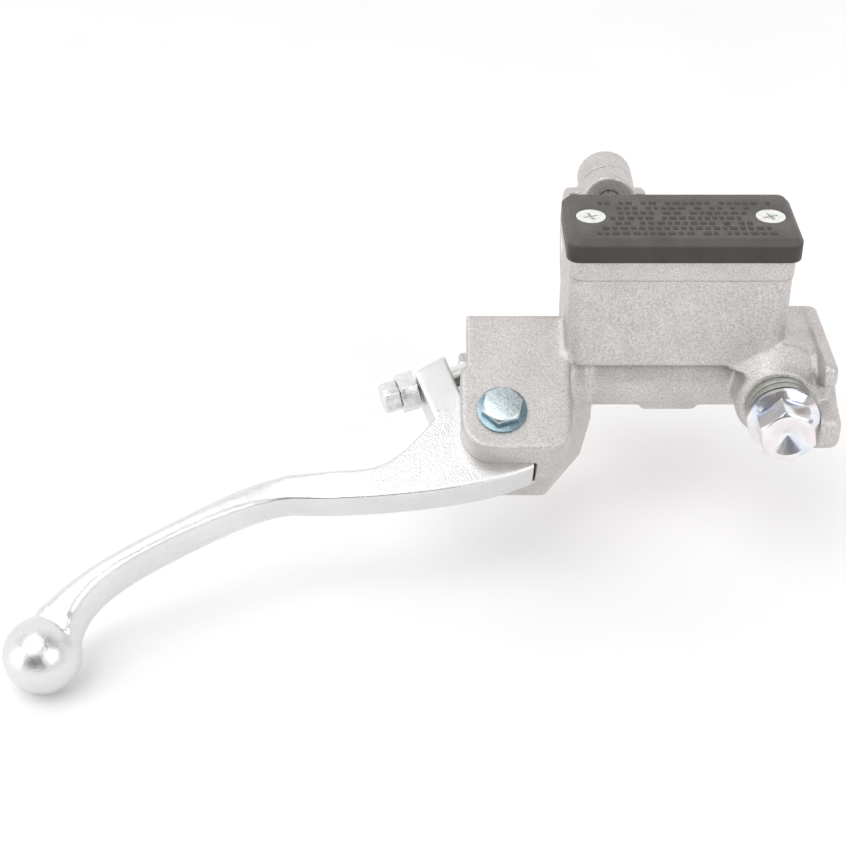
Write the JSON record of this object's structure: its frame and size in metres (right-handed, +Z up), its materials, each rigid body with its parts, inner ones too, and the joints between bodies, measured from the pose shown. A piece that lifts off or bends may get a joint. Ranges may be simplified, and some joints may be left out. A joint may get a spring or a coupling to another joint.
{
  "type": "brake master cylinder",
  "caption": "Handlebar brake master cylinder: cast body with rectangular fluid reservoir, ball-ended lever on a pivot bolt, adjuster screw, hose bolt and bar clamp.",
  "frame": {"origin": "centre of the handlebar bore, half way along the clamp", "axes": "+X along the handlebar towards the hose end, away from the lever's ball; +Y back towards the rider; +Z up, square to the reservoir's lid"},
  "size_m": [0.2228, 0.1333, 0.1006],
  "materials": {
    "cast_aluminium": "matt shot-blasted die casting",
    "cap_plastic": "fine-textured dark grey moulded plastic",
    "zinc_steel": "clear zinc plate",
    "bright_zinc": "bright zinc plate, faintly iridescent",
    "washer_metal": "dull soft sealing metal",
    "lever_aluminium": "bright polished and blasted forging",
    "piston_aluminium": "hard anodised",
    "spring_steel": "bright spring steel",
    "bronze": "sintered bronze",
    "black_rubber": "matt black rubber",
    "window_glass": "clear window"
  },
  "bodies": {
    "housing": {"body": "cast_aluminium", "reservoir_cap": "cap_plastic", "cap_screws": "zinc_steel", "diaphragm": "black_rubber", "port_shield": "spring_steel", "sight_glass": "window_glass", "sight_glass_seal": "black_rubber", "return_spring": "spring_steel", "stop_washer": "spring_steel", "circlip": "spring_steel", "dust_boot": "black_rubber", "pivot_bolt": "zinc_steel", "pivot_nut": "zinc_steel", "banjo_bolt": "bright_zinc", "crush_washers": "washer_metal", "clamp_half": "cast_aluminium", "clamp_bolts": "zinc_steel"},
    "lever": {"lever": "lever_aluminium", "pivot_bush": "bronze", "adjuster_lock_nut": "zinc_steel"},
    "adjuster": {"adjuster_screw": "zinc_steel"},
    "piston": {"piston": "piston_aluminium", "primary_cup": "black_rubber", "secondary_cup": "black_rubber"}
  },
  "joints": [
    {"name": "lever_pivot", "type": "hinge", "parent": "housing", "child": "lever", "pos_m": [-0.0312, -0.05119, -0.0325], "axis": [0, 0.5, -0.866], "range_deg": [0, 23], "stiffness_Nm_per_rad": 0.5, "springref_deg": -28.65},
    {"name": "piston_slide", "type": "slide", "parent": "housing", "child": "piston", "axis": [1, 0, 0], "range_m": [0, 0.0086], "deforming": ["return_spring", "dust_boot"]},
    {"name": "adjuster_travel", "type": "slide", "parent": "lever", "child": "adjuster", "axis": [-0.9426, -0.2891, -0.1669], "range_m": [0, 0.0015]}
  ],
  "couplings": [
    {"joint": "piston_slide", "follows": "lever_pivot", "m_per_rad": 0.021205}
  ]
}
